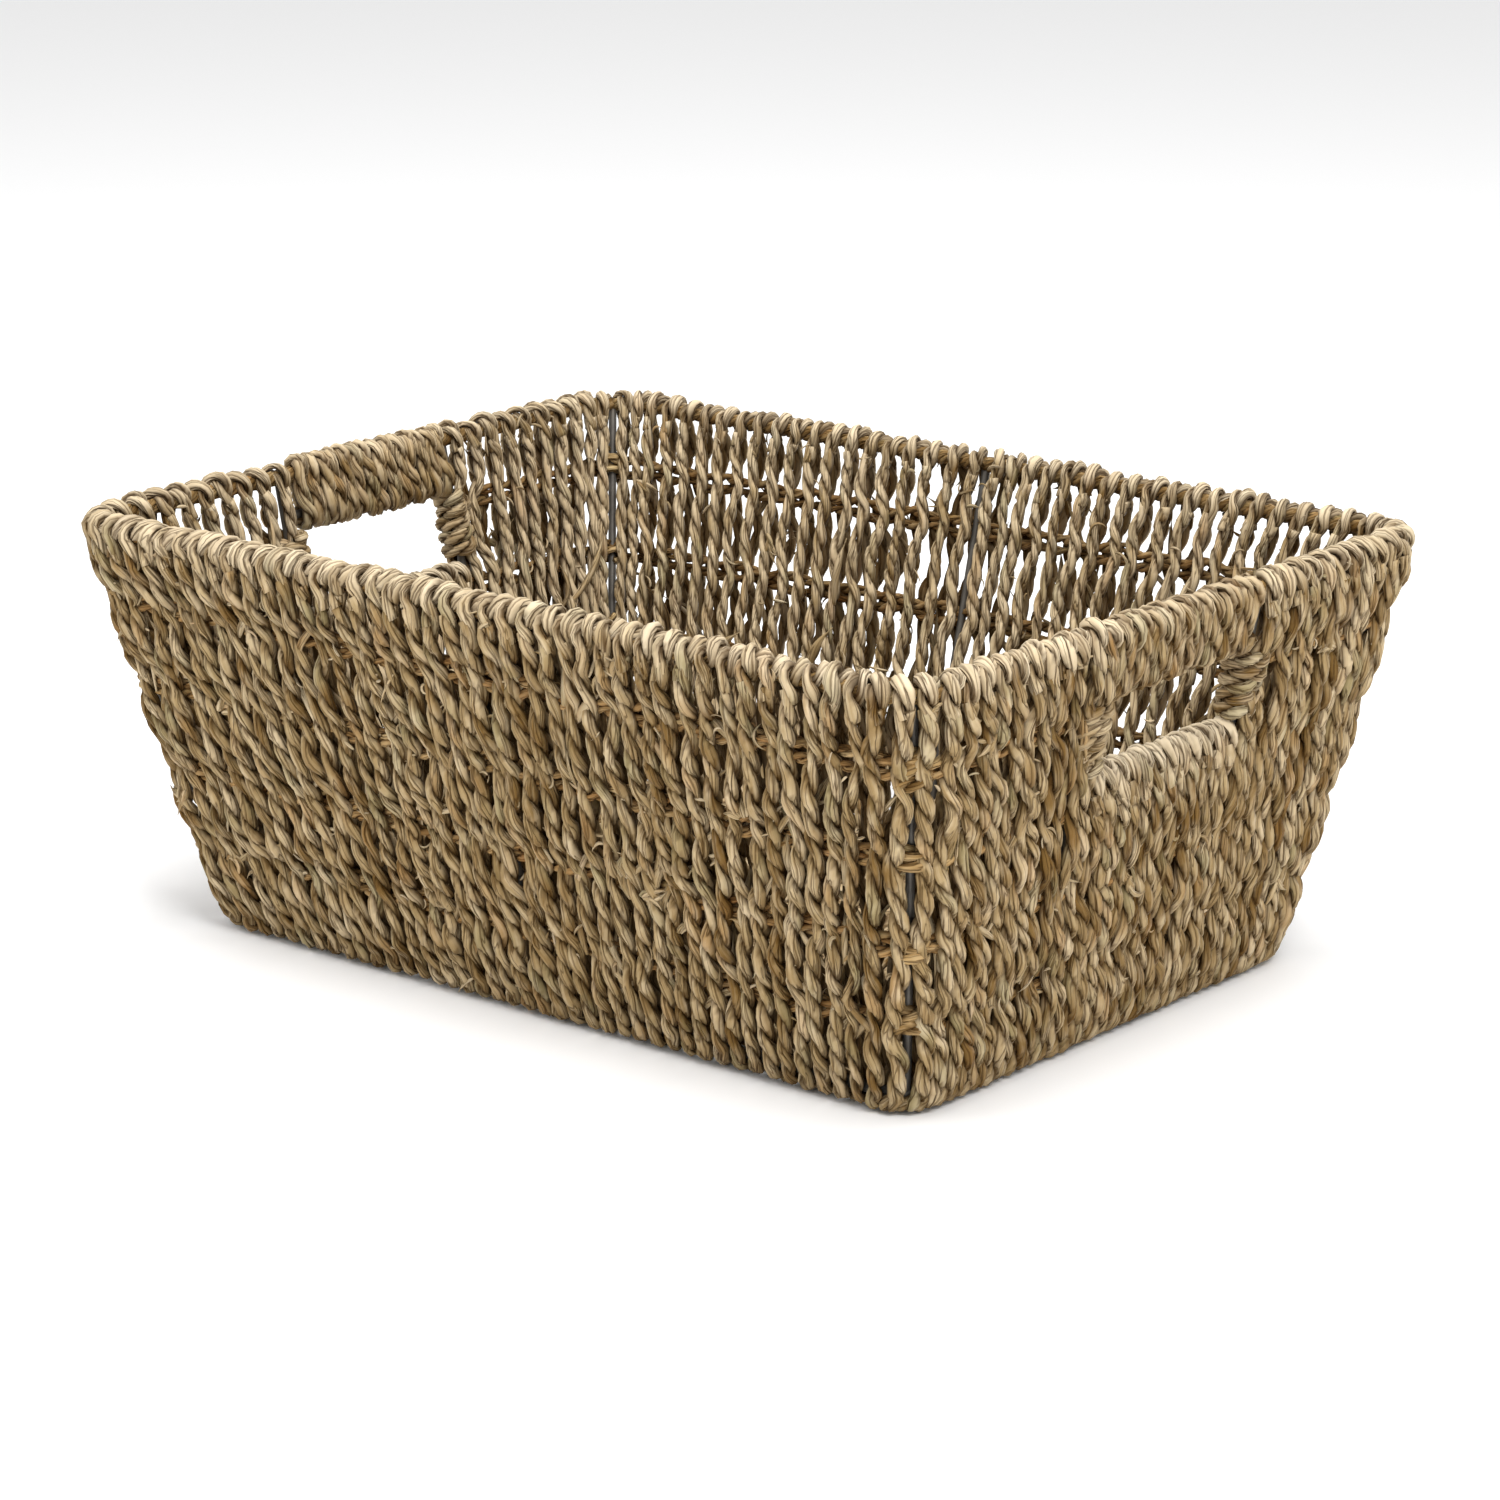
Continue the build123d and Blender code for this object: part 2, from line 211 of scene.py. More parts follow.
class Piece:
    """Collects closed tubes, then makes one mesh of them with its own packed texture layout."""

    def __init__(self):
        self.tubes = []

    def tube(self, path, axes, halves, rng, look, facing, roll=0.0, folds=3, plain=6, painted_shade=0.7):
        """A closed tube along path. axes and halves are its section's two directions and sizes.

        The section is a rounded lens with sharp folds, like a doubled leaf, and roll turns the folds.
        look is tone and paleness along the path; the paleness is partly paler leaf, partly painted
        light. facing is the cord's centre, outward direction and reach. The folds, each ply's side
        tucked against the other ply and the faces turned into the wall get painted shade, as dark as
        the last argument sets.
        """
        across, out = axes
        distance = travelled(path)
        angle, radius, fold = section(rng, plain, folds)
        sides = len(angle)
        roll = roll + 0.4 * line_noise(distance, rng, 40)
        turned = angle[None, :] + roll[:, None]
        aside = np.cos(turned) * radius * halves[0][:, None]
        outward = np.sin(turned) * radius * halves[1][:, None]
        verts = path[:, None, :] + across[:, None, :] * aside[:, :, None]
        verts = verts + out[:, None, :] * outward[:, :, None]
        tone, pale = look
        fibre = np.zeros((len(path), sides, 3))
        fibre[:, :, 0] = distance[:, None] + rng.uniform(0, 5000)
        fibre[:, :, 1] = FIBRE_RADIUS * np.cos(angle)
        fibre[:, :, 2] = FIBRE_RADIUS * np.sin(angle)
        shade = np.zeros((len(path), sides, 3))
        shade[:, :, 0] = tone[:, None]
        shade[:, :, 1] = pale[:, None]
        # painted shade: darker in the folds, on the side of each ply tucked against the other ply, and
        # on the faces turned into the wall
        tucked = smooth_step(np.sin(turned), *TUCKED)
        middle, normal, reach = facing
        toward = np.sum((verts - middle[:, None, :]) * normal[:, None, :], axis=2) / reach[:, None]
        buried = smooth_step(toward, *BURIED)
        shade[:, :, 2] = (1 - 0.6 * fold) * (1 - painted_shade * (1 - tucked)) * (1 - painted_shade * (1 - buried))
        self.tubes.append((verts, fibre, shade))

    def build(self, name, material, *nodes, slot="seagrass_cord"):
        """Makes the mesh, rides it on the root body and hides the CAD nodes that it is drawn in place
        of.
        """
        corners, starts, layouts = [], [], []
        first_point = first_corner = 0
        columns = max(1, round(math.sqrt(len(self.tubes) / TUBE_SLENDERNESS)))
        rows = math.ceil(len(self.tubes) / columns)
        for index, (points, _, _) in enumerate(self.tubes):
            count, sides, _ = points.shape
            faces, face_starts = tube_faces(count, sides)
            corners.append(first_point + faces)
            starts.append(first_corner + face_starts)
            cell = (index % columns, index // columns)
            layouts.append(tube_layout(count, sides, cell, (columns, rows)))
            first_point += count * sides
            first_corner += len(faces)
        points, fibres, shades = (
            np.concatenate([values.reshape(-1, 3) for values in kind]) for kind in zip(*self.tubes)
        )
        mesh = make_mesh(name, points * MM, np.concatenate(corners), np.concatenate(starts))
        for label, values in (("fibre", fibres), ("look", shades)):
            layer = mesh.attributes.new(label, "FLOAT_VECTOR", "POINT")
            layer.data.foreach_set("vector", values.astype(np.float32).ravel())
        layout = mesh.uv_layers.new(name="OFBake")
        layout.data.foreach_set("uv", np.concatenate(layouts).astype(np.float32).ravel())
        piece = bpy.data.objects.new(name, mesh)
        bpy.context.scene.collection.objects.link(piece)
        mesh.materials.append(material)
        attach(piece, "root")
        if nodes:
            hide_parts(*nodes)
        return piece


def cord(piece, path, normal, rng, radius, pitch, pale, tone=0.5, spread=0.85, flat=1.0, start=None,
         step=STEP, plies=2, folds=3, plain=6, painted_shade=0.7):
    """Plies twisted to the left round a path. radius, pitch, pale and flat may vary along it.

    Each ply is itself twisted the other way, so its folds run nearly along the cord.
    """
    full = np.ones(len(path))
    profiles = [value * full for value in (radius, pitch, pale, flat, spread)]
    path, normal, radius, pitch, pale, flat, spread = resample(step, path, normal, *profiles)
    tangent = unit(np.gradient(path, axis=0))
    normal = unit(normal - tangent * np.sum(normal * tangent, axis=1, keepdims=True))
    sideways = np.cross(tangent, normal)
    distance = travelled(path)
    pitch = pitch * (1 + 0.12 * line_noise(distance, rng, 50))
    turns = np.concatenate([[0], np.cumsum(np.diff(distance) / ((pitch[1:] + pitch[:-1]) / 2))])
    start = rng.uniform(0, 2 * math.pi) if start is None else start
    for ply in range(plies):
        angle = start + ply * 2 * math.pi / plies + 2 * math.pi * turns
        angle = angle + 0.15 * line_noise(distance, rng, 20)
        fat = 1 + 0.13 * line_noise(distance, rng, 18) + 0.05 * line_noise(distance, rng, 6)
        size = radius * fat * (1 + rng.normal(0, 0.07))
        reach = radius * spread * (1 + 0.1 * line_noise(distance, rng, 15))
        offset = (
            sideways * np.cos(angle)[:, None] + normal * (np.sin(angle) * flat)[:, None]
        )
        centre = path + offset * reach[:, None]
        along = unit(np.gradient(centre, axis=0))
        out = unit(offset - along * np.sum(offset * along, axis=1, keepdims=True))
        across = np.cross(out, along)
        thick = size * (0.92 - 0.12 * (1 - flat))
        wide = size * (1.18 + 0.1 * (1 - flat))
        shade = tone + rng.normal(0, 0.1) + 0.12 * line_noise(distance, rng, 30)
        # the faces of the plies turned into the wall get painted shade
        facing = (path, normal, radius * (1 + spread * flat))
        roll = 2 * math.pi * turns * COUNTER_TWIST
        piece.tube(centre, (across, out), (wide, thick), rng, (shade, pale), facing, roll, folds,
                   plain, painted_shade)


# ---------------------------------------------------------------- the walls' shape


def wall_at(z):
    """Half length, half width and corner radius of the walls' middle surface at height z."""
    t = (z - BASE.z) / (RIM.z - BASE.z)
    return (
        BASE.half_length + (RIM.half_length - BASE.half_length) * t,
        BASE.half_width + (RIM.half_width - BASE.half_width) * t,
        BASE.corner + (RIM.corner - BASE.corner) * t,
    )


def run_length(long_run, z):
    """From the middle of a wall to the middle of its corner, along the middle surface."""
    half_length, half_width, corner = wall_at(z)
    return (half_length if long_run else half_width) - corner + corner * math.pi / 4


def place(long_run, x_side, y_side, travel, z, offset):
    """Points and outward directions at an offset from the middle surface.

    travel is measured on the middle surface, in millimetres from the wall's middle.
    """
    half_length, half_width, corner = wall_at(z)
    along, across = (half_length, half_width) if long_run else (half_width, half_length)
    straight = along - corner
    radius = corner + offset
    angle = np.clip((travel - straight) / corner, 0, math.pi / 2)
    point = [np.minimum(travel, straight) + radius * np.sin(angle),
             across - corner + radius * np.cos(angle)]
    normal = [np.sin(angle), np.cos(angle)]
    if not long_run:
        point.reverse()
        normal.reverse()
    zero = np.zeros_like(angle)
    points = np.stack([x_side * point[0], y_side * point[1], z + zero], axis=1)
    normals = np.stack([x_side * normal[0], y_side * normal[1], zero], axis=1)
    return points, normals


class Style:
    """How one wall's cords look.

    pitch is their spacing, radius a ply's size and twist the length of its turn. slip is how far a
    cord steps aside over the rim and swing how far its two legs cross between rows, both in cord
    pitches. pairing and wander loosen it in millimetres. tone is how much lighter its inner leg is
    painted: painted light for the inside of the basket.
    Each layer of an even wall is evenly spaced on its own; on the others both legs of a cord stay
    side by side.
    """

    def __init__(self, pitch, radius, twist, slip, swing, pairing, wander, tone, even):
        self.pitch = pitch
        self.radius = radius
        self.twist = twist
        self.slip = slip
        self.swing = swing
        self.pairing = pairing
        self.wander = wander
        self.tone = tone
        self.even = even


# The camera looks into the back and left walls, whose gaps let light through
STYLES = {
    "front": Style(pitch=8.6, radius=1.8, twist=20.5, slip=0.62, swing=0.05, pairing=1.0, wander=1.9,
                   tone=0, even=True),
    "back": Style(pitch=9.6, radius=1.42, twist=19, slip=0.2, swing=-0.25, pairing=0.5, wander=0.7,
                  tone=0.3, even=False),
    "left": Style(pitch=9.5, radius=1.52, twist=20, slip=-0.2, swing=0.13, pairing=0.5, wander=0.9,
                  tone=0.5, even=False),
    "right": Style(pitch=8.6, radius=1.8, twist=20.5, slip=0.6, swing=0.05, pairing=1.0, wander=1.8,
                   tone=0, even=True),
}

SILL_CORDS = 6  # on each half of a sill
WALL_OFFSET = 4.3  # from the middle surface to a cord's centre
BASE_TURN = 4.2  # radius of a cord's turn under the base wire
RIM_TURN = 3.7  # radius of its turn over the rim wire
BOW = 1.1  # how far both layers bow out between the rows
LOOP_DROP = 9.0  # how far down the rim loops reach
CORNER_GAP = 3.7  # between a wall's last cord and the corner wire
INNER_GAP = 2.6  # more of it on the inside, where the wire shows
CORNER_SHIFT = 1.2  # less of it on the outside of the same walls
MIDDLE_GAP = 0.8  # beside the middle wire of the back wall
MIDDLE_SHIFT = 3.1  # moves that gap between the wire and the camera
WEFT_OFFSET = 1.2  # from the middle surface to a weft strand
WEFT_RADIUS = 1.2  # of one of its plies
WEFT_SPREAD = 2.2  # from a row's middle to each of its two strands
ROW_CLEARANCE = 8.0  # a row nearer than this to a cord's top doesn't touch the cord
SILL_PALE_AND_LIGHT = 1.42  # paleness and painted light on the sill, more than on the rim
SPREAD = 0.76  # of the wall cords' plies, in ply radii


def bump(values, width):
    """A smooth bump, 1 at 0 and near 0 beyond the width."""
    return np.exp(-((values / width) ** 2))


def rows_below(top):
    """Heights of the weft rows that a cord with that top crosses."""
    return [height for height in WEFT_HEIGHTS if height < top - ROW_CLEARANCE]


def pinch(z, top):
    """1 at a weft row, 0 between rows."""
    return sum(bump(z - height, 7.0) for height in rows_below(top))


def swing(z, top):
    """How far a cord swings aside between the rows: 0 at a row, 1 halfway to the next."""
    levels = [BASE.z, *rows_below(top), top]
    return np.abs(np.sin(math.pi * np.interp(z, levels, range(len(levels))))) ** 1.4


class Run:
    """Half a wall's cords of one group, from the wall's middle or hand hole towards a corner."""

    def __init__(self, side, x_side, y_side, group, count, top):
        self.long = side in SIDES
        self.x_side = x_side
        self.y_side = y_side
        self.group = group
        self.count = count
        self.top = top
        self.turn = x_side * y_side * (-1 if self.long else 1)


def loop_outline(top, bulge, squeeze):
    """One full turn seen from the end of the wall: offset from the middle surface, z and tilt.

    It runs under the base wire, up outside, over the top wire, down inside and back under. tilt is
    the outward direction's angle: 0 outside, a quarter turn over the wire, a half turn inside.
    """
    rise = np.linspace(0, 1, 90)
    z_up = BASE.z + (top - BASE.z) * rise
    under_in = np.radians(np.linspace(-90, 0, 8)[:-1])
    over = np.radians(np.linspace(0, 180, 14)[1:-1])
    under_out = np.radians(np.linspace(180, 270, 8)[1:])
    between_rows = swing(z_up, top)
    swell = (bulge - 4.0) * np.sin(math.pi * rise) + 0.7 * between_rows
    reach = BASE_TURN + (RIM_TURN - BASE_TURN) * rise + swell - 0.5 * pinch(z_up, top)
    reach -= 2.0 * squeeze * lashed(z_up)
    bow = BOW * between_rows
    offset = np.concatenate([
        BASE_TURN * np.cos(under_in), reach + bow, RIM_TURN * np.cos(over),
        bow[::-1] - reach[::-1], BASE_TURN * np.cos(under_out)])
    z = np.concatenate([
        BASE.z + BASE_TURN * np.sin(under_in), z_up, top + RIM_TURN * np.sin(over),
        z_up[::-1], BASE.z + BASE_TURN * np.sin(under_out)])
    tilt = np.concatenate([under_in, 0 * z_up, over, 0 * z_up + math.pi, under_out])
    return offset, z, tilt


def loop_travel(run, index, style, z, tilt, squeeze, aside):
    """Travel along the wall of the same turn: its two legs stand side by side and step to the next.

    aside varies how far the legs cross between the rows.
    """
    level = np.clip(z, BASE.z, run.top)
    share = (index + 0.5) / run.count
    outer = spread_out(run, level, share, WALL_OFFSET * style.even)
    inner = spread_out(run, level, share, -WALL_OFFSET * style.even)
    length = run_length(run.long, level)
    near_corner = smooth_step(outer, length - 22, length)
    outer = outer + CORNER_SHIFT * near_corner * (not style.even)
    slip = style.slip * style.pitch * run.turn * (1 - near_corner)
    if run.y_side > 0:
        inner = inner - INNER_GAP * near_corner
        if run.long:
            near_middle = bump(outer, 20)
            inner = inner + MIDDLE_GAP * bump(outer, 9)
            slip = slip * (1 - near_middle) + MIDDLE_SHIFT * run.x_side * near_middle
    over = smooth_step(tilt, 0, math.pi)
    under_in = np.clip(-tilt / (math.pi / 2), 0, 1)
    under_out = np.clip((tilt - math.pi) / (math.pi / 2), 0, 1)
    travel = outer * (1 - over) + (inner + slip) * over
    rest = (style.pitch * run.turn - slip) / 2
    travel = travel - rest * under_in + rest * under_out
    travel = travel - squeeze * lashed(z) * (0.3 * (travel - sill_limit(z)))
    parity = np.zeros_like(z)
    for row, height in enumerate(rows_below(run.top)):
        parity += (1 if (index + row) % 2 == 0 else -1) * bump(z - height, 10.0)
    travel = travel + style.pairing * parity
    cross = style.swing * style.pitch * (1 - 2 * over) * run.turn
    return travel + cross * swing(level, run.top) * aside


def loop_path(run, index, style, rng, squeeze):
    """Points, outward directions, tilt and z of one full turn of cord, with its loose wander."""
    top = run.top
    offset, z, tilt = loop_outline(top, WALL_OFFSET + rng.normal(0, 0.25), squeeze)
    travel = loop_travel(run, index, style, z, tilt, squeeze, rng.uniform(0.7, 1.2))
    level = np.clip(z, BASE.z, top)
    points, normals = place(run.long, run.x_side, run.y_side, travel, level, offset)
    points[:, 2] = z
    out = normals * np.cos(tilt)[:, None] + np.array([0, 0, 1.0]) * np.sin(tilt)[:, None]
    tangent = unit(np.gradient(points, axis=0))
    sideways = np.cross(tangent, out)
    free = np.clip((z - BASE.z) / 20, 0, 1) * np.clip((top - z) / 12, 0, 1)
    shared = smooth_noise(points * [1, 1, 0.8], 11, 90)
    distance = travelled(points)
    own = line_noise(distance, rng, 60) + 0.5 * line_noise(distance, rng, 28)
    lateral = free * style.wander * (0.55 * shared + 0.55 * own)
    swell = free * (0.4 * line_noise(distance, rng, 30))
    points = points + sideways * lateral[:, None] + out * swell[:, None]
    lift = bump(tilt - math.pi / 2, 0.9) * (top > RIM.z - 1)
    points = points + out * (lift * rng.normal(0.2, 0.5))[:, None]
    return points, out, tilt, z


def sill_limit(z):
    """Half width, at height z, of the cords that hang from the sill wire."""
    return np.interp(z, [BASE.z, SILL_Z], [SILL_HALF * 0.8, SILL_HALF])


def spread_out(run, z, share, offset):
    """Travel from the wall's middle, at height z, of the cord at a share of its group.

    The cords are evenly spaced at the offset from the middle surface. Groups: "whole" runs from a
    long wall's middle to the corner, "sill" hangs from the sill wire, and "beside" runs from the
    hand hole to the corner.
    """
    if run.group == "sill":
        return sill_limit(z) * share
    half_length, half_width, corner = wall_at(z)
    straight = (half_length if run.long else half_width) - corner
    start = sill_limit(z) if run.group == "beside" else 0.0
    end = straight + (corner + offset) * math.pi / 4 - CORNER_GAP
    step = (end - start) / (run.count - 0.5)
    half = 0.5 / run.count
    travel = start + step / 2 + (end - start - step / 2) * (share - half) / (1 - 2 * half)
    past_straight = np.maximum(travel - straight, 0)
    return travel - past_straight * offset / (corner + offset)


def pale_and_top_light(z, tilt, top):
    """Paleness: most near the rim's top, fading down the wall, plus painted light where it faces up."""
    near = np.exp(-(np.abs(top + 3 - z) / 9.0))
    # painted light: the cord is paler where it turns up over the wire
    up = np.sin(np.clip(tilt, 0, math.pi))
    return np.clip(0.3 * near + 0.3 * up, 0, 1)


def lashed(z):
    """1 at the heights of the lashings, 0 above and below."""
    return 1 / (1 + np.exp(-(z - LASH_LOW[2]) / 2)) / (1 + np.exp((z - LASH_HIGH[2]) / 2))


def wall_cord(outer, rim, inner, run, index, style, rng, squeeze=0.0):
    """Adds one full turn of cord, split between the outer, rim and inner pieces."""
    top = run.top
    points, out, tilt, z = loop_path(run, index, style, rng, squeeze)
    pale = pale_and_top_light(z, tilt, top) * (SILL_PALE_AND_LIGHT if top < RIM.z else 1)
    radius = np.full(len(z), style.radius) * (1 + 0.06 * rng.normal())
    pitch = style.twist * (1 + 0.12 * rng.normal()) * np.ones(len(z))
    flat = 1 - 0.45 * np.clip((BASE.z + 3 - z) / 4, 0, 1) - 0.3 * squeeze * lashed(z)
    tone = 0.5 + rng.normal(0, 0.1)
    crest = int(np.argmax(z))
    start = rng.uniform(0, 2 * math.pi)
    for piece, part in ((outer, slice(0, crest)), (inner, slice(crest, len(z)))):
        part = np.arange(len(z))[part]
        part = part[z[part] < top - 2]
        # painted light: the inner leg of the walls seen from inside is painted lighter and paler,
        # standing in for light inside the basket
        lighter = style.tone if piece is inner else 0
        cord(piece, points[part], out[part], rng, radius[part], pitch[part],
             pale[part] + 0.25 * lighter, tone + lighter, spread=SPREAD, flat=flat[part],
             start=start)
    part = np.arange(len(z))[z > top - LOOP_DROP + rng.normal(0, 1.2)]
    part = part[(part > crest - 40) & (part < crest + 40)]
    fade = smooth_step(z[part], top - 4, top + 2)
    sideways = np.cross(unit(np.gradient(points[part], axis=0)), out[part])
    leaning = unit(out[part] + sideways * rng.normal(0.25, 0.2))
    loop_radius = style.radius - 0.05 + 0.3 * fade
    cord(rim, points[part], leaning, rng, loop_radius, rng.uniform(16, 26), pale[part],
         tone + 0.05, spread=0.9 + 0.25 * fade, flat=0.9 - 0.2 * fade, step=1.4, folds=5, painted_shade=0.65)


def build_walls(materials):
    """Cords of the four walls, their rim loops and their inner layer."""
    for side, style in STYLES.items():
        rng = np.random.default_rng(sum(map(ord, side)))
        outer, rim, inner = Piece(), Piece(), Piece()
        long_run = side in SIDES
        for sign in (-1, 1):
            x_side, y_side = (sign, SIDES[side]) if long_run else (ENDS[side], sign)
            start = 0 if long_run else SILL_HALF
            room = run_length(long_run, RIM.z) - start
            group = "whole" if long_run else "beside"
            run = Run(side, x_side, y_side, group, round(room / style.pitch), RIM.z)
            for index in range(run.count):
                squeeze = float(not long_run and index < 2)
                wall_cord(outer, rim, inner, run, index, style, rng, squeeze)
            if not long_run:
                run = Run(side, x_side, y_side, "sill", SILL_CORDS, SILL_Z)
                for index in range(run.count):
                    wall_cord(outer, rim, inner, run, index, style, rng)
        if long_run:
            nodes = [f"{side}_wall_cords"]
        else:
            nodes = [f"{side}_end_cords", f"{side}_sill_wrap"]
            nodes += [f"{y}_{side}_corner_cords" for y in SIDES]
        outer.build(f"{side}_outer_cords", materials["cord"], *nodes)
        rim.build(f"{side}_rim_loops", materials["cord"], nodes[0])
        inner.build(f"{side}_inner_cords", materials["cord"], nodes[0])


# ---------------------------------------------------------------- hand holes


def end_point(x_side, y, z, offset):
    """Points on an end wall at width y, height z and offset outwards."""
    half_length = wall_at(z)[0]
    return np.stack([x_side * (half_length + offset), y, z], axis=1)


GRIP_TURNS = 14
GRIP_REACH = 4.3  # from a wire's centre to the winding's
GRIP_SLANT = 7.0  # of a turn, on the outside


def grip_outline(phase):
    """z, tilt and lean of one turn round both grip wires: up outside, over, down inside, under."""
    height = RIM.z - GRIP_Z
    half_turn = math.pi * GRIP_REACH
    perimeter = 2 * height + 2 * half_turn
    walked = phase * perimeter
    legs = [walked < height, walked < height + half_turn, walked < 2 * height + half_turn]
    over = (walked - height) / GRIP_REACH
    under = (walked - 2 * height - half_turn) / GRIP_REACH
    z = np.select(
        legs, [GRIP_Z + walked, RIM.z + GRIP_REACH * np.sin(over), RIM.z + height + half_turn - walked],
        GRIP_Z - GRIP_REACH * np.sin(under))
    tilt = np.select(legs, [0, over, math.pi], math.pi + under)
    return z, tilt, (height + half_turn) / perimeter


def build_grips(materials):
    """Cord wound steeply round the rim wire and the grip's lower wire."""
    low, high = -SILL_HALF + 1.5, SILL_HALF - 2.5
    pitch = (high - low) / GRIP_TURNS
    per_turn = 40
    turn = np.arange(GRIP_TURNS * per_turn + 1) / per_turn
    phase = turn % 1.0
    z, tilt, outside = grip_outline(phase)
    slant = np.interp(phase, [0, outside, 1], [0, GRIP_SLANT, pitch])
    y = low + np.floor(turn) * pitch + slant - GRIP_SLANT / 2
    for end, x_side in ENDS.items():
        rng = np.random.default_rng(500 + x_side)
        piece = Piece()
        points = end_point(x_side, y * x_side + 1.0, np.clip(z, 0, RIM.z), GRIP_REACH * np.cos(tilt))
        points[:, 2] = z
        out = np.stack([x_side * np.cos(tilt), 0 * tilt, np.sin(tilt)], axis=1)
        distance = travelled(points)
        points[:, 1] += 0.8 * line_noise(distance, rng, 37)
        points += out * (0.35 + 0.45 * line_noise(distance, rng, 25))[:, None]
        # painted light: the cord is paler where it turns up over the rim wire
        pale = 0.12 + 0.3 * np.clip(np.sin(tilt), 0, 1)
        cord(piece, points, out, rng, 1.7, 19, pale, 0.45, spread=0.9, flat=0.85, painted_shade=0.75)
        piece.build(f"{end}_grip_cords", materials["cord"], f"{end}_grip_wrap", slot="handle_cord")


LASH_TURNS = 4.8
LASH_REACH = 3.9, 5.2  # from the end wall's middle surface, outside and inside
LASH_PINCH = 2.6  # how much narrower the winding is on one face


def build_lashings(materials):
    """Level windings round the uprights beside each hand hole."""
    for (end, x_side), (side, y_side) in product(ENDS.items(), SIDES.items()):
        rng = np.random.default_rng(600 + 10 * x_side + y_side)
        piece = Piece()
        # The cord's centre stays inside the box of the CAD winding
        low_y, high_y = LASH_LOW[1] + 2.6, LASH_HIGH[1] - 4.0
        low_z, high_z = LASH_LOW[2] + 2.0, LASH_HIGH[2] - 1.5
        turn = np.linspace(0, LASH_TURNS, 200)
        around = 2 * math.pi * turn
        half = (high_y - low_y) / 2
        reach = np.interp(smooth_step(-np.cos(around), -1, 1), [0, 1], LASH_REACH)
        reach_y = half - LASH_PINCH * smooth_step(-np.sin(around), -0.3, 0.6)
        y = low_y + reach_y * (1 + np.cos(around))
        offset = reach * np.sign(np.sin(around)) * np.abs(np.sin(around)) ** 0.75
        z = low_z + (high_z - low_z) * turn / LASH_TURNS
        points = end_point(x_side, y * y_side, z, offset)
        out = unit(np.stack([x_side * np.sin(around) * half, y_side * np.cos(around) * reach,
                             0 * around], axis=1))
        distance = travelled(points)
        points[:, 2] += 0.6 * line_noise(distance, rng, 30)
        points += out * (0.4 * line_noise(distance, rng, 18))[:, None]
        cord(piece, points, out, rng, 1.75, 14, 0.2, 0.5, spread=0.85, flat=0.9, step=1.5)
        piece.build(f"{end}_{side}_lashing_cords", materials["cord"],
                    f"{end}_handle_{side}_lashing", slot="handle_cord")


# ---------------------------------------------------------------- wefts and floor


def build_wefts(materials):
    """Two thin cords per row run round the basket between the layers, outside the uprights."""
    for row, height in zip(WEFT_ROWS, WEFT_HEIGHTS):
        rng = np.random.default_rng(700 + row)
        piece = Piece()
        node = f"weft_row_{row}"
        stop = LASH_HIGH[1] + 1 if row == WEFT_ROWS[-1] else 0
        for strand, x_side, y_side in product((-1, 1), repeat=3):
            travel = np.linspace(0, run_length(True, height), 120)
            line, out = place(True, x_side, y_side, travel, height, WEFT_OFFSET)
            travel = np.linspace(run_length(False, height), stop, 90)
            more, more_out = place(False, x_side, y_side, travel, height, WEFT_OFFSET)
            line = np.concatenate([line, more[1:]])
            out = np.concatenate([out, more_out[1:]])
            distance = travelled(line)
            line = line + out * (0.8 * line_noise(distance, rng, 26))[:, None]
            line[:, 2] += strand * WEFT_SPREAD + 0.7 * line_noise(distance, rng, 33)
            cord(piece, line, out, rng, WEFT_RADIUS, 14, 0.0, 0.5, folds=1, plain=5, step=1.8,
                 painted_shade=0.3)
        piece.build(node + "_strands", materials["weft"], node, slot="weft_cord")


def build_rim_core(materials):
    """Twisted leaf wound round the whole rim wire, seen between the loops."""
    rng = np.random.default_rng(77)
    piece = Piece()
    for x_side, y_side, long_run in product((-1, 1), (-1, 1), (True, False)):
        travel = np.linspace(0, run_length(long_run, RIM.z), 120)
        line, out = place(long_run, x_side, y_side, travel, RIM.z, 0)
        cord(piece, line, out, rng, 1.15, 15, 0.0, 0.4, spread=1.7, folds=1, plain=6, plies=5,
             step=1.8, painted_shade=0.4)
    piece.build("rim_core_leaves", materials["knot"], slot="weft_cord")


FLOOR_PITCH = 7.2
FLOOR_RADIUS = 1.7  # of a ply
FLOOR_UNDER = 2.6  # height of the lower layer
FLOOR_OVERHANG = 2.5  # past the CAD floor, so that the cords reach the base wire


